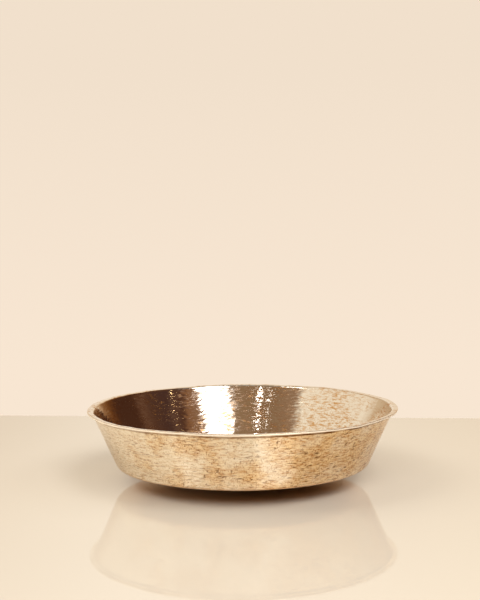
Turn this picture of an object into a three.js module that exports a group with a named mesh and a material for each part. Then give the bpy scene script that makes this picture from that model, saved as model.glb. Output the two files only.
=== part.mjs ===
// A hand-hammered bowl: one sheet of copper alloy raised to a straight flaring wall, a slightly
// domed bottom and a narrow turned-out lip, with a tin lining wiped over the inside and the lip.
// Millimetres, +Z up. The origin is the centre of the flat spot that the bowl stands on.

import * as THREE from 'three';

// Driving dimensions
const rimRadius = 150;       // from the axis to the edge of the lip
const height = 71;           // from the flat spot to the top of the lining on the lip
const wallLean = 24.5;       // degrees by which the wall leans out from upright
const lipWidth = 4.5;        // by which the lip stands out from the wall's outer face
const lipBendRadius = 1.5;   // inside radius of the bend from wall to lip, on its underside
const knuckleRadius = 5;     // outer radius of the bend from bottom to wall
const domeRadius = 430;      // of the sphere that the bottom bulges to, on its outer face
const flatSpotRadius = 25;   // of the planished spot in the middle of the bottom
const sheet = 1.5;           // thickness of the copper alloy
const tinThickness = 0.2;    // of the lining
const tinGap = 0.05;         // clearance that keeps the lining a solid of its own

// Fineness of the facets
const segmentsAround = 64;
const domeSteps = 6;
const knuckleSteps = 4;
const lipBendSteps = 3;
const edgeSteps = 4;

const bronze = new THREE.MeshStandardMaterial({ color: '#d8b483', roughness: 0.35, metalness: 1 });
const tin = new THREE.MeshStandardMaterial({ color: '#e4ded2', roughness: 0.18, metalness: 1 });

// Points on an arc, both ends included. Angles are in radians, from +X towards +Y.
function arc(centre, radius, from, to, steps) {
  const points = [];
  for (let i = 0; i <= steps; i++) {
    const angle = from + (to - from) * i / steps;
    points.push(new THREE.Vector2(
      centre.x + radius * Math.cos(angle),
      centre.y + radius * Math.sin(angle),
    ));
  }
  return points;
}

// The outer face's outline from the axis to the lip's edge, as (radius, height) points.
function outerOutline() {
  const lean = THREE.MathUtils.degToRad(wallLean);
  const upWall = new THREE.Vector2(Math.sin(lean), Math.cos(lean));
  const inward = new THREE.Vector2(-Math.cos(lean), Math.sin(lean));
  const underLip = height - tinThickness - tinGap - sheet;
  const wallTop = new THREE.Vector2(rimRadius - lipWidth, underLip);
  const domeCentre = new THREE.Vector2(0, Math.sqrt(domeRadius ** 2 - flatSpotRadius ** 2));

  // The knuckle's centre is its own radius inside the wall, and inside the dome's sphere.
  const start = wallTop.clone().addScaledVector(inward, knuckleRadius);
  const toStart = start.clone().sub(domeCentre);
  const along = toStart.dot(upWall);
  const short = toStart.lengthSq() - (domeRadius - knuckleRadius) ** 2;
  const down = -along - Math.sqrt(along ** 2 - short);
  const knuckleCentre = start.clone().addScaledVector(upWall, down);
  const domeEdgeAngle = knuckleCentre.clone().sub(domeCentre).angle() - 2 * Math.PI;
  const wallFootAngle = -lean;

  // The lip's bend is centred outside the wall and below the lip.
  const bendStart = wallTop.clone().addScaledVector(inward, -lipBendRadius);
  const rise = (underLip - lipBendRadius - bendStart.y) / upWall.y;
  const bendCentre = bendStart.clone().addScaledVector(upWall, rise);

  const flatSpotAngle = -Math.acos(flatSpotRadius / domeRadius);
  return [
    new THREE.Vector2(0, 0),
    ...arc(domeCentre, domeRadius, flatSpotAngle, domeEdgeAngle, domeSteps),
    ...arc(knuckleCentre, knuckleRadius, domeEdgeAngle, wallFootAngle, knuckleSteps).slice(1),
    ...arc(bendCentre, lipBendRadius, Math.PI - lean, Math.PI / 2, lipBendSteps),
    new THREE.Vector2(rimRadius - sheet / 2, underLip),
  ];
}

// The outline moved towards the inside of the bowl, so that every facet keeps the same thickness.
function movedInward(outline, distance) {
  const normals = outline.slice(1).map((point, i) => {
    const side = point.clone().sub(outline[i]).normalize();
    return new THREE.Vector2(-side.y, side.x);
  });
  return outline.map((point, i) => {
    const before = normals[Math.max(i - 1, 0)];
    const after = normals[Math.min(i, normals.length - 1)];
    const mitre = before.clone().add(after).multiplyScalar(distance / (1 + before.dot(after)));
    return point.clone().add(mitre);
  });
}

// A closed outline, turned around the Z axis.
function turned(outline, material, name) {
  const geometry = new THREE.LatheGeometry(outline, segmentsAround);
  geometry.rotateX(Math.PI / 2);
  const mesh = new THREE.Mesh(geometry, material);
  mesh.name = name;
  return mesh;
}

// The raised sheet. Its edge is rounded over from the lip's underside to its top.
function bowlBody() {
  const outer = outerOutline();
  const inner = movedInward(outer, sheet);
  const edgeCentre = outer.at(-1).clone().add(inner.at(-1)).multiplyScalar(0.5);
  const edge = arc(edgeCentre, sheet / 2, -Math.PI / 2, Math.PI / 2, edgeSteps).slice(1, -1);
  return turned([...outer, ...edge, ...inner.reverse()], bronze, 'bowl_body');
}

// The lining. It follows the sheet's inner face and covers the lip as far as its rounded edge.
function tinLining() {
  const outer = outerOutline();
  const underside = movedInward(outer, sheet + tinGap);
  const face = movedInward(outer, sheet + tinGap + tinThickness);
  return turned([...underside, ...face.reverse()], tin, 'tin_lining');
}

const bowl = new THREE.Group();
bowl.add(bowlBody(), tinLining());

export default bowl;
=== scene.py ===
# A hand-hammered bowl of copper alloy, tinned inside, on a glossy cream table.
# Metres, +Z up. The origin is the flat spot that the bowl stands on.

import math

import bmesh
import bpy
import numpy as np
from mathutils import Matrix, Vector


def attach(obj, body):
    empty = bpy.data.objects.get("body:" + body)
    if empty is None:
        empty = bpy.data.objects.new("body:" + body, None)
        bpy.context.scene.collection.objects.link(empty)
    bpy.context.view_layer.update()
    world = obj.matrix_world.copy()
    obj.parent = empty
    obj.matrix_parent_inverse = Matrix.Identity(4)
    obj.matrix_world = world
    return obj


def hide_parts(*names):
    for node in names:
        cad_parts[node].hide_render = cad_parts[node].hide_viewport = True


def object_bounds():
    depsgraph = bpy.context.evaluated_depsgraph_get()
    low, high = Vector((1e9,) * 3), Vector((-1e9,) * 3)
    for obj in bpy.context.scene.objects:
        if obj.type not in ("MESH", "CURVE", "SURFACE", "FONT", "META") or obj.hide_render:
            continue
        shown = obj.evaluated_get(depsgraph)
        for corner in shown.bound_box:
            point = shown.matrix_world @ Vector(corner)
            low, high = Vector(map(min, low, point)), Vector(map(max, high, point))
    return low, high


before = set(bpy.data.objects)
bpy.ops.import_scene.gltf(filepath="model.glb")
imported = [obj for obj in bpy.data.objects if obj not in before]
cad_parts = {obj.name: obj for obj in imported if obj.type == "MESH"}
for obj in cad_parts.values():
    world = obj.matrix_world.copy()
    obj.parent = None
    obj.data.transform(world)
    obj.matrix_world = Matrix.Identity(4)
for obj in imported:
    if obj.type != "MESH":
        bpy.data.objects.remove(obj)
cad_box = [list(corner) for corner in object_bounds()]


# ---------------------------------------------------------------------------------------------
# The camera. It stands a metre in front of the bowl, a little above the rim.

camera_data = bpy.data.cameras.new("camera")
camera_data.lens = 61.9
camera_data.sensor_width = 36
camera = bpy.data.objects.new("camera", camera_data)
camera.location = (0.0015, -0.995, 0.232)
camera.rotation_euler = (math.radians(90 - 3.36), math.radians(0.52), math.radians(0.126))
bpy.context.collection.objects.link(camera)
bpy.context.scene.camera = camera


# ---------------------------------------------------------------------------------------------
# The sheet. One disc of bronze, raised over stakes with a cross-peen hammer into a domed bottom,
# a tight knuckle, a flaring wall and a narrow turned-out lip. The courses of hammer marks are
# left as they fell, and handling has left brown patina in them.

MM = 0.001
RIM_RADIUS = cad_box[1][0]
HEIGHT = cad_box[1][2]
WALL_LEAN = math.radians(24.5)
LIP_WIDTH = 4.5 * MM
LIP_BEND_RADIUS = 1.5 * MM
KNUCKLE_RADIUS = 5 * MM
DOME_RADIUS = 430 * MM
FLAT_SPOT_RADIUS = 25 * MM
SHEET = 1.5 * MM
TIN_GAP = 0.05 * MM
TIN = 0.2 * MM
COLUMNS = 512  # of faces around the bowl
WELD = 0.001 * MM  # vertices nearer than this are one

# Where the straight stretches of the outline meet its bends, as (radius, height).
up_wall = Vector((math.sin(WALL_LEAN), math.cos(WALL_LEAN)))
inward = Vector((-math.cos(WALL_LEAN), math.sin(WALL_LEAN)))
under_lip = HEIGHT - TIN - TIN_GAP - SHEET
wall_top = Vector((RIM_RADIUS - LIP_WIDTH, under_lip))
dome_centre = Vector((0, math.sqrt(DOME_RADIUS**2 - FLAT_SPOT_RADIUS**2)))
start = wall_top + inward * KNUCKLE_RADIUS
from_dome = start - dome_centre
along_wall = from_dome.dot(up_wall)
beyond = from_dome.length_squared - (DOME_RADIUS - KNUCKLE_RADIUS) ** 2
knuckle_centre = start - up_wall * (along_wall + math.sqrt(along_wall**2 - beyond))
bend_centre = wall_top - inward * LIP_BEND_RADIUS
bend_centre += up_wall * ((under_lip - LIP_BEND_RADIUS - bend_centre.y) / up_wall.y)
wall_length = (bend_centre - knuckle_centre).dot(up_wall)
flat_spot_slope = math.asin(FLAT_SPOT_RADIUS / DOME_RADIUS)
dome_edge_slope = math.atan2(knuckle_centre.x, dome_centre.y - knuckle_centre.y)
dome_turn = dome_edge_slope - flat_spot_slope
knuckle_turn = math.pi / 2 - WALL_LEAN - dome_edge_slope
lip_turn = math.pi / 2 - WALL_LEAN


def begin_outline(name, z):
    """A new mesh of one selected vertex on the axis, in edit mode."""
    bpy.ops.object.select_all(action="DESELECT")
    bpy.ops.mesh.primitive_plane_add(size=MM, location=(0, 0, z))
    piece = bpy.context.object
    piece.name = piece.data.name = name
    bpy.ops.object.transform_apply(location=True, rotation=True, scale=True)
    bpy.ops.object.mode_set(mode="EDIT")
    bpy.ops.mesh.select_all(action="SELECT")
    bpy.ops.mesh.merge(type="CENTER")
    bpy.ops.object.mode_set(mode="OBJECT")
    bpy.ops.object.mode_set(mode="EDIT")
    return piece


def draw_line(end, count):
    """Extrudes the outline's last vertex to a point, in equal steps."""
    outline = bmesh.from_edit_mesh(bpy.context.object.data)
    outline.verts.ensure_lookup_table()
    last = outline.verts[-1].co
    step = ((end[0] - last.x) / count, 0, (end[1] - last.z) / count)
    for _ in range(count):
        bpy.ops.mesh.extrude_region_move(TRANSFORM_OT_translate={"value": step})


def draw_arc(centre, turn, count):
    """Spins the outline's last vertex about a centre. A positive turn curls up and inward."""
    middle = (centre.x, 0, centre.y)
    bpy.ops.mesh.spin(steps=count, angle=turn, center=middle, axis=(0, 1, 0))


def note_values(piece, name, values):
    """Keeps one number for each vertex as an attribute, which a material can read."""
    kept = piece.data.attributes.new(name, "FLOAT", "POINT")
    kept.data.foreach_set("value", values.astype(np.float32))


def turn_outline(piece):
    """Notes how far along the outline each vertex is, then turns the outline into a shell."""
    bpy.ops.object.mode_set(mode="OBJECT")
    points = np.array([vertex.co for vertex in piece.data.vertices])
    steps = np.linalg.norm(np.diff(points, axis=0), axis=1)
    note_values(piece, "along", np.concatenate([[0], np.cumsum(steps)]))
    screw = piece.modifiers.new("turn", "SCREW")
    screw.steps = screw.render_steps = COLUMNS
    screw.use_merge_vertices = True
    screw.merge_threshold = WELD
    bpy.ops.object.modifier_apply(modifier=screw.name)
    bpy.ops.object.mode_set(mode="EDIT")
    bpy.ops.mesh.select_all(action="SELECT")
    bpy.ops.mesh.remove_doubles(threshold=WELD)
    bpy.ops.mesh.normals_make_consistent(inside=False)
    bpy.ops.object.mode_set(mode="OBJECT")
    bpy.ops.object.shade_smooth_by_angle(angle=math.radians(40))


def vertex_values(piece, name):
    """A vertex attribute's numbers."""
    values = np.empty(len(piece.data.vertices), np.float32)
    piece.data.attributes[name].data.foreach_get("value", values)
    return values


def vertex_vectors(piece, what):
    """All the mesh's vertex places or normals, as rows."""
    source = piece.data.vertices if what == "co" else piece.data.vertex_normals
    values = np.empty(3 * len(piece.data.vertices), np.float32)
    source.foreach_get("co" if what == "co" else "vector", values)
    return values.reshape(-1, 3)


def place_vertices(piece, places):
    """Moves the mesh's vertices to the given rows."""
    piece.data.vertices.foreach_set("co", places.astype(np.float32).ravel())
    piece.data.update()


class Face:
    """A face of the bowl unrolled: rows run along the outline, columns around the bowl."""

    CELL = 0.3 * MM
    COLUMNS = 2800  # of cells
    CREASE = 3  # how much faster the dirt thins out across a mark than its hollow does

    def __init__(self, length):
        self.rows = int(length / self.CELL) + 2
        self.depth = np.zeros((self.rows, self.COLUMNS), np.float32)
        self.dirt = np.zeros((self.rows, self.COLUMNS), np.float32)

    def strike(self, angle, along, radius, length, width, tilt, depth, dirt):
        """Sinks one hammer mark. The deepest mark wins, so ridges stand between marks.
        Length and width are half of the mark's own."""
        reach = max(length * abs(math.cos(tilt)), width) + self.CELL
        rise = max(length * abs(math.sin(tilt)), width) + self.CELL
        around = 2 * math.pi * radius / self.COLUMNS
        centre = angle / (2 * math.pi) * self.COLUMNS
        middle = int(centre)
        row = along / self.CELL
        first, last = max(0, int(row - rise / self.CELL)), int(row + rise / self.CELL) + 2
        rows = np.arange(first, min(last, self.rows))
        span = int(reach / around) + 1
        columns = np.arange(middle - span, middle + span + 1)
        sideways = ((columns - centre) * around)[None, :]
        upwards = ((rows - row) * self.CELL)[:, None]
        along_mark = (sideways * math.cos(tilt) + upwards * math.sin(tilt)) / length
        across_mark = (upwards * math.cos(tilt) - sideways * math.sin(tilt)) / width
        hollow = np.clip(1 - along_mark**2 - across_mark**2, 0, None)
        crease = np.clip(1 - along_mark**2 - self.CREASE * across_mark**2, 0, None)
        here = np.ix_(rows, columns % self.COLUMNS)
        self.depth[here] = np.maximum(self.depth[here], depth * hollow)
        self.dirt[here] = np.maximum(self.dirt[here], dirt * crease)

    def read(self, grid, angles, along):
        """The grid's value at each vertex, between its cells."""
        row = np.clip(along / self.CELL, 0, self.rows - 1.001)  # so that a row stands above it
        column = (angles / (2 * math.pi) % 1) * self.COLUMNS
        below, left = row.astype(int), column.astype(int)
        rise, shift = row - below, column - left
        right = (left + 1) % self.COLUMNS
        left = left % self.COLUMNS
        low = grid[below, left] * (1 - shift) + grid[below, right] * shift
        high = grid[below + 1, left] * (1 - shift) + grid[below + 1, right] * shift
        return low * (1 - rise) + high * rise


DRIFT_LENGTH = 35 * MM  # the shortest wave of a drift, up the bowl


def drift(angles, along, seed, waves=5):
    """A smooth wandering value between about -1 and 1, which closes around the bowl."""
    chance = np.random.default_rng(seed)
    total = np.zeros(np.broadcast(angles, along).shape)
    for _ in range(waves):
        around = chance.integers(2, 14)
        across = chance.uniform(-1, 1) * 2 * math.pi / DRIFT_LENGTH
        total = total + np.sin(around * angles + across * along + chance.uniform(0, 6.3))
    return total / math.sqrt(waves) / 1.4


# How uneven the form is, in mm: its broad and its fine wandering, and how far all of it sinks.
ROUND_BROAD = 0.35
ROUND_FINE = 0.12
ROUND_SUNK = 0.5
WAVY_BROAD = 0.28
WAVY_FINE = 0.14
WAVY_SUNK = 0.35
MOST_WAVY = 0.9
MOST_OUT_OF_ROUND = 1.2 * MM
DENT = 0.18 * MM
DEEPEST_DENT = 0.5 * MM
DENTED_FROM = 0.2  # of the height


def hand_made(places):
    """The raised form's unevenness, the same for the sheet and its lining. The bowl is out of
    round and its lip wavy towards the rim, and its wall dented half way up. The rim only moves
    inward and down."""
    angles = np.arctan2(places[:, 1], places[:, 0])
    radius = np.hypot(places[:, 0], places[:, 1])
    height_share = np.clip(places[:, 2] / HEIGHT, 0, 1)
    out_of_round = (ROUND_BROAD * drift(angles, 0, 3) + ROUND_FINE * drift(3 * angles, 0, 4)
                    - ROUND_SUNK) * MM
    out_of_round = np.clip(out_of_round, -MOST_OUT_OF_ROUND, 0)
    dented = DENT * drift(angles, places[:, 2], 5, 9) * (height_share > DENTED_FROM)
    dented = np.clip(dented, -DEEPEST_DENT, DEEPEST_DENT)
    moved = radius + (out_of_round * height_share**2
                      + dented * height_share * (1 - height_share) * 4)
    wavy = WAVY_BROAD * drift(angles, 0, 6) + WAVY_FINE * drift(3 * angles, 0, 7) - WAVY_SUNK
    wavy = np.clip(wavy, -MOST_WAVY, 0)
    scale = moved / np.maximum(radius, 1e-9)
    return np.stack([places[:, 0] * scale, places[:, 1] * scale,
                     places[:, 2] + wavy * MM * height_share**4], axis=1)


sheet = begin_outline("raised_sheet", 0)
draw_line((FLAT_SPOT_RADIUS, 0), 6)
draw_arc(dome_centre, dome_turn, 54)
draw_arc(knuckle_centre, knuckle_turn, 8)
draw_line(knuckle_centre - inward * KNUCKLE_RADIUS + up_wall * wall_length, 92)
draw_arc(bend_centre, -lip_turn, 5)
draw_line((RIM_RADIUS - SHEET / 2, under_lip), 3)
draw_arc(Vector((RIM_RADIUS - SHEET / 2, under_lip + SHEET / 2)), math.pi, 8)
draw_line((bend_centre.x, under_lip + SHEET), 1)
draw_arc(bend_centre, lip_turn, 3)
draw_line(knuckle_centre - inward * (KNUCKLE_RADIUS - SHEET), 3)
draw_arc(knuckle_centre, -knuckle_turn, 3)
draw_arc(dome_centre, -dome_turn, 5)
draw_line((0, SHEET), 1)
turn_outline(sheet)

dome_end = FLAT_SPOT_RADIUS + DOME_RADIUS * dome_turn
wall_start = dome_end + KNUCKLE_RADIUS * knuckle_turn
wall_end = wall_start + wall_length

DOME_EDGE = 1.01  # the radius where the dome ends, over that of the knuckle's centre
KNUCKLE_SWELL = 0.91  # how far the knuckle stands out where the wall starts, over its radius


def radius_at(along):
    """The outer face's radius at a distance along the outline, to within a millimetre."""
    return np.interp(along, [0, dome_end, wall_start, wall_end],
                     [0, knuckle_centre.x * DOME_EDGE,
                      knuckle_centre.x + KNUCKLE_RADIUS * KNUCKLE_SWELL, wall_top.x])


# Courses of blows up the bowl: most lie along the course, and in some patches they cross it.
COURSE = 1.5 * MM
BLOW_SPACING = 3.6 * MM
BLOW_WANDER = 0.6 * MM
LIP_ROOM = 8 * MM  # of outline beyond the wall, for the bend and the lip
CROSSED_OVER = 0.9  # of the drift that picks the crossed patches
PATCH_BLUR = 0.35  # of that drift, which makes the patches' edges ragged
TILT_SPREAD = 0.12  # radians
chance = np.random.default_rng(11)
outside = Face(wall_end + LIP_ROOM)
for course in np.arange(FLAT_SPOT_RADIUS, wall_end + 1 * MM, COURSE):
    radius = float(radius_at(course))
    count = int(2 * math.pi * radius / BLOW_SPACING)
    for blow in range(count):
        angle = (blow + chance.uniform(0, 1)) / count * 2 * math.pi
        along = course + chance.normal(0, BLOW_WANDER)
        crossed = drift(angle, along, 21, 7) + chance.normal(0, PATCH_BLUR) > CROSSED_OVER
        tilt = chance.normal(0.2 * drift(angle, along, 23, 7), TILT_SPREAD)
        tilt += math.pi / 2 if crossed else 0
        length = chance.uniform(1.6, 5) * MM * (0.8 if crossed else 1)
        width = chance.uniform(0.7, 1.4) * MM * (1.2 if crossed else 1)
        depth = chance.uniform(0.02, 0.09) * MM
        outside.strike(angle, along, radius, length, width, tilt, depth, chance.uniform(0, 1) ** 1.6)

# The patina lies in the marks. The dark line in the corner under the lip is painted shade with
# some grime, and the pale tin over the lip's edge is partly a painted highlight.
along = vertex_values(sheet, "along")
places = vertex_vectors(sheet, "co")
normals = vertex_vectors(sheet, "normal")
angles = np.arctan2(places[:, 1], places[:, 0])
struck = (along > FLAT_SPOT_RADIUS + 1 * MM) & (along < wall_end + 5 * MM)
sunk = np.where(struck, outside.read(outside.depth, angles, along), 0)
grime_and_lip_shade = np.where(struck, outside.read(outside.dirt, angles, along), 0)
# Painted shade: a dark line in the corner under the lip, with some grime in it.
shade_and_grime_under_lip = np.exp(-((along - (wall_end - 1 * MM)) / (1.1 * MM)) ** 2)
grime_and_lip_shade = np.maximum(grime_and_lip_shade, shade_and_grime_under_lip * np.clip(0.9 + 0.4 * drift(2 * angles, 0, 22), 0, 1))
place_vertices(sheet, hand_made(places - normals * sunk[:, None]))
# Partly a painted highlight: the tin over the lip's edge is pale and matt, and stands in for the
# bright line that the rounded edge catches.
tin_and_highlight_on_edge = np.clip((np.hypot(places[:, 0], places[:, 1]) - RIM_RADIUS) / (0.8 * MM) + 1, 0, 1)
note_values(sheet, "patina_and_lip_shade", grime_and_lip_shade)
note_values(sheet, "tinned_and_highlight", tin_and_highlight_on_edge)


def linear(code):
    """An sRGB hex colour as the linear one that a shader takes."""
    shares = [int(code[place : place + 2], 16) / 255 for place in (1, 3, 5)]
    return [share / 12.92 if share <= 0.04045 else ((share + 0.055) / 1.055) ** 2.4
            for share in shares] + [1]


def new_material(name):
    """A material with no nodes yet, and its node tree."""
    material = bpy.data.materials.new(name)
    material.use_nodes = True
    material.node_tree.nodes.clear()
    return material, material.node_tree


def add(tree, kind, inputs, output=None, **settings):
    """Adds a node with its settings, and returns the output asked for, or else its first one.
    An input is a number, a colour or another node's output. It goes to the socket in use that
    has that name or that place."""
    node = tree.nodes.new(kind)
    for name, value in settings.items():
        setattr(node, name, value)
    sockets = [socket for socket in node.inputs if socket.enabled]
    named = {socket.name: socket for socket in sockets}
    for key, value in inputs.items():
        socket = sockets[key] if isinstance(key, int) else named[key]
        if isinstance(value, bpy.types.NodeSocket):
            tree.links.new(value, socket)
        else:
            socket.default_value = value
    outputs = {socket.name: socket for socket in node.outputs if socket.enabled}
    return outputs[output] if output else next(iter(outputs.values()), None)


# Hammered bronze, rubbed on its high spots. The eye gets a pale gold satin in fine streaks along
# the courses, clouded by brown patina, with dark dashes where the marks hold it. Towards the right
# side the clouds thicken, which is painted shade. The bottom is painted browner and more orange,
# which is painted bounce light from the glossy table. The dashes' dark brown also paints the shade
# in the corner under the lip. Tin has run over the edge of the lip and dulled there, and its pale
# matt colour is partly a painted highlight. The clouds are 24 mm across, the streaks 7 mm long,
# the nicks 5 mm high and the specks 1.7 mm.
bronze, tree = new_material("hammered bronze, patinated and rubbed")
place = add(tree, "ShaderNodeTexCoord", {}, "Object")
lengthwise = add(tree, "ShaderNodeMapping", {"Vector": place, "Scale": (1, 1, 6)})
upright = add(tree, "ShaderNodeMapping", {"Vector": place, "Scale": (5, 5, 1)})
patina_and_lip_shade = add(tree, "ShaderNodeAttribute", {}, "Fac", attribute_name="patina_and_lip_shade")
turned = add(tree, "ShaderNodeMapping", {"Vector": place, "Rotation": (0, 0, math.radians(-14))})
clouds = add(tree, "ShaderNodeTexNoise", {"Vector": turned, "Scale": 1 / (24 * MM), "Detail": 4.0})
streaks = add(tree, "ShaderNodeTexNoise",
              {"Vector": lengthwise, "Scale": 1 / (7 * MM), "Detail": 4.0, "Roughness": 0.65})
nicks = add(tree, "ShaderNodeTexNoise",
            {"Vector": upright, "Scale": 1 / (5 * MM), "Detail": 2.0, "Roughness": 0.6})
specks = add(tree, "ShaderNodeTexNoise", {"Vector": place, "Scale": 1 / (1.7 * MM), "Detail": 2.0})
# Painted shade: the clouds thicken towards +X, so the bowl's right side comes out darker and more
# orange, with more streaks, nicks and dashes.
side = add(tree, "ShaderNodeSeparateXYZ", {0: place}, "X")
painted_shade_to_right = add(tree, "ShaderNodeMapRange", {"Value": side, "From Min": -0.12, "From Max": 0.05,
                                           "To Min": -0.2, "To Max": 0.13})
clouds = add(tree, "ShaderNodeMath", {0: clouds, 1: painted_shade_to_right}, operation="ADD")
height = add(tree, "ShaderNodeSeparateXYZ", {0: place}, "Z")
# Painted bounce light: the lowest 13 to 19 mm turn orange-brown, standing for the warm light bounced
# between the bottom and the glossy table.
painted_bounce_near_bottom = add(tree, "ShaderNodeMapRange", {"Value": height, "From Min": 19 * MM,
                                            "From Max": 13 * MM, "To Max": 0.8})
clouds_and_right_shade = add(tree, "ShaderNodeMapRange", {"Value": clouds, "From Min": 0.36, "From Max": 0.72})
streaked = add(tree, "ShaderNodeMapRange", {"Value": streaks, "From Min": 0.45, "From Max": 0.66})
nicked = add(tree, "ShaderNodeMapRange", {"Value": nicks, "From Min": 0.56, "From Max": 0.7})
specked = add(tree, "ShaderNodeMapRange", {"Value": specks, "From Min": 0.62, "From Max": 0.74})
dashes_and_lip_shade = add(tree, "ShaderNodeMapRange", {"Value": patina_and_lip_shade, "From Min": 0.3, "From Max": 0.75})
held = add(tree, "ShaderNodeMapRange", {"Value": clouds_and_right_shade, "To Min": 0.5, "To Max": 1.0})
streaked, nicked, specked, dashes_and_lip_shade = [
    add(tree, "ShaderNodeMath", {0: share, 1: held}, operation="MULTIPLY")
    for share in (streaked, nicked, specked, dashes_and_lip_shade)]
tinned_and_highlight = add(tree, "ShaderNodeAttribute", {}, "Fac", attribute_name="tinned_and_highlight")
tone = add(tree, "ShaderNodeMix", {"Factor": clouds_and_right_shade, "A": linear("#fff4de"),
                                   "B": linear("#f8daaa")}, data_type="RGBA")
# Of these, the orange-brown is painted bounce light, the dark brown of the dashes also paints the
# shade under the lip, and the pale tin is partly a painted highlight.
for share, code in ((painted_bounce_near_bottom, "#e8a458"), (streaked, "#c58f52"), (nicked, "#a06a35"),
                    (specked, "#8a5424"), (dashes_and_lip_shade, "#6b3d17"), (tinned_and_highlight, "#f6ead6")):
    tone = add(tree, "ShaderNodeMix", {"Factor": share, "A": tone, "B": linear(code)},
               data_type="RGBA")
satin = add(tree, "ShaderNodeMapRange", {"Value": streaked, "To Min": 0.16, "To Max": 0.3})
satin = add(tree, "ShaderNodeMix", {"Factor": tinned_and_highlight, "A": satin, "B": 0.4})
grain = add(tree, "ShaderNodeBump", {"Height": streaks, "Strength": 1.0, "Distance": 0.09 * MM})
metallic = add(tree, "ShaderNodeMapRange", {"Value": tinned_and_highlight, "To Min": 1.0, "To Max": 0.3})
shader = add(tree, "ShaderNodeBsdfPrincipled",
             {"Base Color": tone, "Metallic": metallic, "Roughness": satin, "Normal": grain})
add(tree, "ShaderNodeOutputMaterial", {"Surface": shader})
sheet.data.materials.append(bronze)
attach(sheet, "root")
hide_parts("bowl_body")


# ---------------------------------------------------------------------------------------------
# The lining. Pure tin, wiped molten over the fluxed inside and the top of the lip, on metal that
# was planished smooth first, so it mirrors the room in ripples.

base = SHEET + TIN_GAP
towards_flat_spot = Vector((math.sin(flat_spot_slope), -math.cos(flat_spot_slope)))
lining = begin_outline("tin_lining_skin", base)
draw_line(dome_centre + towards_flat_spot * (DOME_RADIUS - base), 1)
draw_arc(dome_centre, dome_turn, 5)
draw_arc(knuckle_centre, knuckle_turn, 3)
draw_line(knuckle_centre - inward * (KNUCKLE_RADIUS - base) + up_wall * wall_length, 3)
draw_arc(bend_centre, -lip_turn, 3)
draw_line((RIM_RADIUS - SHEET / 2, under_lip + base), 1)
draw_line((RIM_RADIUS - SHEET / 2, under_lip + base + TIN), 1)
draw_line((bend_centre.x, under_lip + base + TIN), 4)
draw_arc(bend_centre, lip_turn, 6)
draw_line(knuckle_centre - inward * (KNUCKLE_RADIUS - base - TIN), 98)
draw_arc(knuckle_centre, -knuckle_turn, 8)
draw_arc(dome_centre, -dome_turn, 50)
draw_line((0, base + TIN), 6)
turn_outline(lining)

along = vertex_values(lining, "along")
places = vertex_vectors(lining, "co")
normals = vertex_vectors(lining, "normal")
angles = np.arctan2(places[:, 1], places[:, 0])
top = along > along.max() / 2 - 1 * MM
down = np.where(top, along.max() - along, 0)

# Courses of planishing, from the middle of the bottom to the lip.
PLANISHED_COURSE = 2.0 * MM
PLANISHED_SPACING = 5 * MM
PLANISHED_WANDER = 0.8 * MM
INSIDE_FOOT_RADIUS = 0.119  # about where the dome ends
INSIDE_TOP_RADIUS = 0.144  # about where the wall ends
LEAST_RADIUS = 2 * MM
LEAST_BLOWS = 3
chance = np.random.default_rng(12)
inside = Face(float(along.max()) / 2 + 10 * MM)
for course in np.arange(3 * MM, float(along.max()) / 2, PLANISHED_COURSE):
    radius = float(np.interp(course, [0, dome_end, wall_end],
                             [0, INSIDE_FOOT_RADIUS, INSIDE_TOP_RADIUS]))
    radius = max(radius, LEAST_RADIUS)
    count = max(LEAST_BLOWS, int(2 * math.pi * radius / PLANISHED_SPACING))
    for blow in range(count):
        angle = (blow + chance.uniform(0, 1)) / count * 2 * math.pi
        spot = course + chance.normal(0, PLANISHED_WANDER)
        length, width = chance.uniform(2.4, 6.5) * MM, chance.uniform(1.1, 2.4) * MM
        depth = chance.uniform(0.01, 0.12) * MM
        inside.strike(angle, spot, radius, length, width, chance.normal(0, TILT_SPREAD), depth,
                      chance.uniform(0, 1) ** 2)
sunk = np.where(top, inside.read(inside.depth, angles, down), 0)
scoured = np.where(top, inside.read(inside.dirt, angles, down), 0)
place_vertices(lining, hand_made(places - normals * sunk[:, None]))
note_values(lining, "scours", scoured)

# Wiped tin. The eye gets a grey-white mirror, a little warm, with golden streaks where scouring
# has worn it down to the bronze, in patches of 28 mm. The bottom is worn less than half as much
# as the wall. The streaks are 7 mm long and the wipes 10 mm high.
tin, tree = new_material("wiped tin, scoured")
place = add(tree, "ShaderNodeTexCoord", {}, "Object")
lengthwise = add(tree, "ShaderNodeMapping", {"Vector": place, "Scale": (1, 1, 4)})
upright = add(tree, "ShaderNodeMapping", {"Vector": place, "Scale": (6, 6, 1)})
scours = add(tree, "ShaderNodeAttribute", {}, "Fac", attribute_name="scours")
patches = add(tree, "ShaderNodeTexNoise", {"Vector": place, "Scale": 1 / (28 * MM), "Detail": 4.0})
streaks = add(tree, "ShaderNodeTexNoise",
              {"Vector": lengthwise, "Scale": 1 / (7 * MM), "Detail": 4.0, "Roughness": 0.7})
wipes = add(tree, "ShaderNodeTexNoise",
            {"Vector": upright, "Scale": 1 / (10 * MM), "Detail": 3.0, "Roughness": 0.6})
worn = add(tree, "ShaderNodeMapRange", {"Value": patches, "From Min": 0.28, "From Max": 0.56})
streaked = add(tree, "ShaderNodeMapRange", {"Value": streaks, "From Min": 0.47, "From Max": 0.62})
wiped = add(tree, "ShaderNodeMapRange", {"Value": wipes, "From Min": 0.5, "From Max": 0.7,
                                         "To Max": 0.6})
scoured = add(tree, "ShaderNodeMapRange", {"Value": scours, "From Min": 0.35, "From Max": 0.8})
thin = add(tree, "ShaderNodeMath", {0: streaked, 1: wiped}, operation="MAXIMUM")
thin = add(tree, "ShaderNodeMath", {0: thin, 1: scoured}, operation="MAXIMUM")
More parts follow.
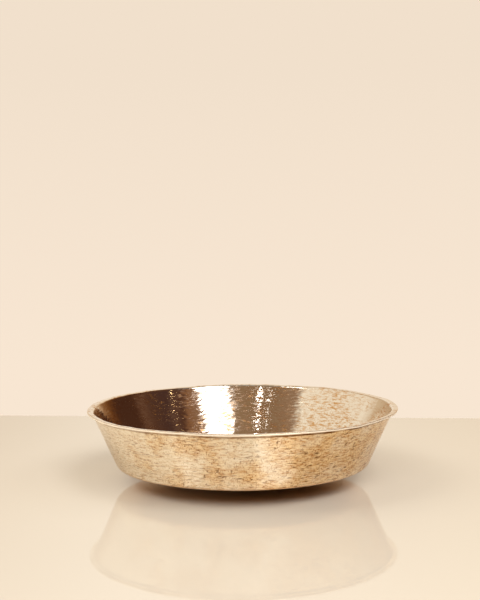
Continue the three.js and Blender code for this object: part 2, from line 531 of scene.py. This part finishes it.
thin = add(tree, "ShaderNodeMath", {0: thin, 1: worn}, operation="MULTIPLY")
height = add(tree, "ShaderNodeSeparateXYZ", {0: place}, "Z")
scrubbed = add(tree, "ShaderNodeMapRange", {"Value": height, "From Min": 14 * MM,
                                            "From Max": 24 * MM, "To Min": 0.45})
thin = add(tree, "ShaderNodeMath", {0: thin, 1: scrubbed}, operation="MULTIPLY")
tone = add(tree, "ShaderNodeMix", {"Factor": thin, "A": linear("#eee9e0"),
                                   "B": linear("#cda06a")}, data_type="RGBA")
matt = add(tree, "ShaderNodeMapRange", {"Value": thin, "To Min": 0.05, "To Max": 0.34})
grain = add(tree, "ShaderNodeBump", {"Height": streaks, "Strength": 1.0, "Distance": 0.02 * MM})
shader = add(tree, "ShaderNodeBsdfPrincipled",
             {"Base Color": tone, "Metallic": 1.0, "Roughness": matt, "Normal": grain})
add(tree, "ShaderNodeOutputMaterial", {"Surface": shader})
lining.data.materials.append(tin)
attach(lining, "root")
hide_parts("tin_lining")


# ---------------------------------------------------------------------------------------------
# The table, which isn't part of the bowl: a thick top with a glossy cream lacquer. It is turned
# a few degrees, so its back edge runs askew.

BACK_EDGE = 0.344  # behind the bowl's middle
TABLE_WIDTH = 3.6
TABLE_DEPTH = 2.47
TABLE_THICKNESS = 0.04
TABLE_TURN = math.radians(-4.9)
bpy.ops.object.select_all(action="DESELECT")
bpy.ops.mesh.primitive_cube_add(size=1)
table = bpy.context.object
table.name = "table_top"
table.scale = (TABLE_WIDTH, TABLE_DEPTH, TABLE_THICKNESS)
table.rotation_euler = (0, 0, TABLE_TURN)
half_depth = TABLE_DEPTH / 2 / math.cos(TABLE_TURN)
table.location = (0, BACK_EDGE - half_depth, -TABLE_THICKNESS / 2)
bpy.ops.object.transform_apply(location=True, rotation=True, scale=True)
lacquer, tree = new_material("cream lacquer")
shader = add(tree, "ShaderNodeBsdfPrincipled",
             {"Base Color": linear("#d1c9ba"), "Roughness": 0.02, "IOR": 1.5})
add(tree, "ShaderNodeOutputMaterial", {"Surface": shader})
table.data.materials.append(lacquer)


# ---------------------------------------------------------------------------------------------
# The room and its lights. The bowl and the table mirror walls that are pale behind and on the
# left, brown in front and dark on the right, while the camera itself sees a plain pale wall.

ROOM = [  # degrees from +X towards +Y, colour
    (0, "#57392a"), (10, "#6b4a36"), (18, "#4a2c1d"), (40, "#4a2c1d"), (50, "#6b3f1e"),
    (58, "#8a5a30"), (66, "#c9a27a"), (72, "#e8cfae"), (96, "#ffeed8"), (110, "#cdb08e"),
    (128, "#d9bd9a"), (142, "#fbebd3"), (212, "#fff0d8"), (219, "#98775a"), (235, "#937659"),
    (276, "#947555"), (315, "#8c6545"), (326, "#8a5f3e"), (332, "#4a2c20"), (338, "#654838"),
    (346, "#4a312a"), (359, "#57392a"),
]
world = bpy.data.worlds.new("room")
bpy.context.scene.world = world
world.use_nodes = True
tree = world.node_tree
tree.nodes.clear()
direction = add(tree, "ShaderNodeTexCoord", {}, "Generated")
towards_x = add(tree, "ShaderNodeSeparateXYZ", {0: direction}, "X")
towards_y = add(tree, "ShaderNodeSeparateXYZ", {0: direction}, "Y")
upwards = add(tree, "ShaderNodeSeparateXYZ", {0: direction}, "Z")
azimuth = add(tree, "ShaderNodeMath", {0: towards_y, 1: towards_x}, operation="ARCTAN2")
turns = add(tree, "ShaderNodeMath", {0: azimuth, 1: 2 * math.pi}, operation="DIVIDE")
turns = add(tree, "ShaderNodeMath", {0: turns}, operation="FRACT")
around = add(tree, "ShaderNodeValToRGB", {"Fac": turns}, "Color")
stops = around.node.color_ramp.elements
while len(stops) > 1:
    stops.remove(stops[-1])
stops[0].position, stops[0].color = ROOM[0][0] / 360, linear(ROOM[0][1])
for degrees, code in ROOM[1:]:
    stops.new(degrees / 360).color = linear(code)
high = add(tree, "ShaderNodeMapRange", {"Value": upwards, "From Min": 0.86, "From Max": 0.94})
around = add(tree, "ShaderNodeMix", {"Factor": high, "A": around, "B": (0.4, 0.37, 0.32, 1)},
             data_type="RGBA")
low = add(tree, "ShaderNodeMapRange", {"Value": upwards, "From Min": 0.16, "From Max": 0.0})
skirting = add(tree, "ShaderNodeMix", {"Factor": low, "A": around, "B": linear("#c4a27e")},
               data_type="RGBA")
around = add(tree, "ShaderNodeMix", {"Factor": 1.0, "A": around, "B": skirting},
             data_type="RGBA", blend_type="LIGHTEN")
climb = add(tree, "ShaderNodeMapRange", {"Value": upwards, "From Min": -0.12, "From Max": 0.16})
wall = add(tree, "ShaderNodeMix", {"Factor": climb, "A": linear("#f8e6d2"),
                                   "B": linear("#f1e0cc")}, data_type="RGBA")
seen = add(tree, "ShaderNodeLightPath", {}, "Is Camera Ray")
shown = add(tree, "ShaderNodeMix", {"Factor": seen, "A": around, "B": wall}, data_type="RGBA")
background = add(tree, "ShaderNodeBackground", {"Color": shown, "Strength": 1.0})
add(tree, "ShaderNodeOutputWorld", {"Surface": background})

# A large softbox hangs in front on the right as two panels, the lower one dimmer. A strip and
# three small lamps leave glints. The three fills light the table, and nothing mirrors them.
BOWL_MIDDLE = Vector((0, 0, 0.05))
LIGHT_DISTANCE = 3.6


def hang_light(name, azimuth, elevation, size, radiance, colour="#ffffff", roll=0, mirrored=True):
    """A rectangular light that faces the bowl, turned by roll. Angles are in degrees. Its power
    follows from how bright it looks. One that isn't mirrored lights only what scatters light."""
    light = bpy.data.lights.new(name, "AREA")
    light.shape = "RECTANGLE"
    light.size, light.size_y = size
    light.energy = radiance * math.pi * size[0] * size[1]
    light.color = linear(colour)[:3]
    lamp = bpy.data.objects.new(name, light)
    around, up = math.radians(azimuth), math.radians(elevation)
    away = Vector((math.cos(around) * math.cos(up), math.sin(around) * math.cos(up), math.sin(up)))
    lamp.location = BOWL_MIDDLE + away * LIGHT_DISTANCE
    lamp.rotation_euler = away.to_track_quat("Z", "Y").to_euler()
    lamp.rotation_euler.rotate_axis("Z", math.radians(roll))
    lamp.visible_camera = False
    lamp.visible_glossy = mirrored
    bpy.context.collection.objects.link(lamp)


hang_light("softbox_upper", 305, 54.5, (1.4, 1.6), 7, roll=-24)
hang_light("softbox_lower", 293.5, 36.5, (1.4, 0.9), 2.2, roll=-24)
hang_light("strip", 204, 54, (0.2, 1.5), 8)
hang_light("small_lamp_left", 254, 42, (0.06, 0.3), 12)
hang_light("small_lamp_middle", 243, 42, (0.03, 0.2), 9)
hang_light("warm_lamp", 341, 36, (0.05, 0.06), 12, colour="#ffd9a0")
hang_light("front_fill", 272, 35, (3.6, 1.2), 6, mirrored=False)
hang_light("left_fill", 200, 45, (2.4, 1.0), 2.5, mirrored=False)
hang_light("right_fill", 340, 42, (2.4, 1.0), 3.5, mirrored=False)

bpy.context.scene.view_settings.view_transform = "Standard"
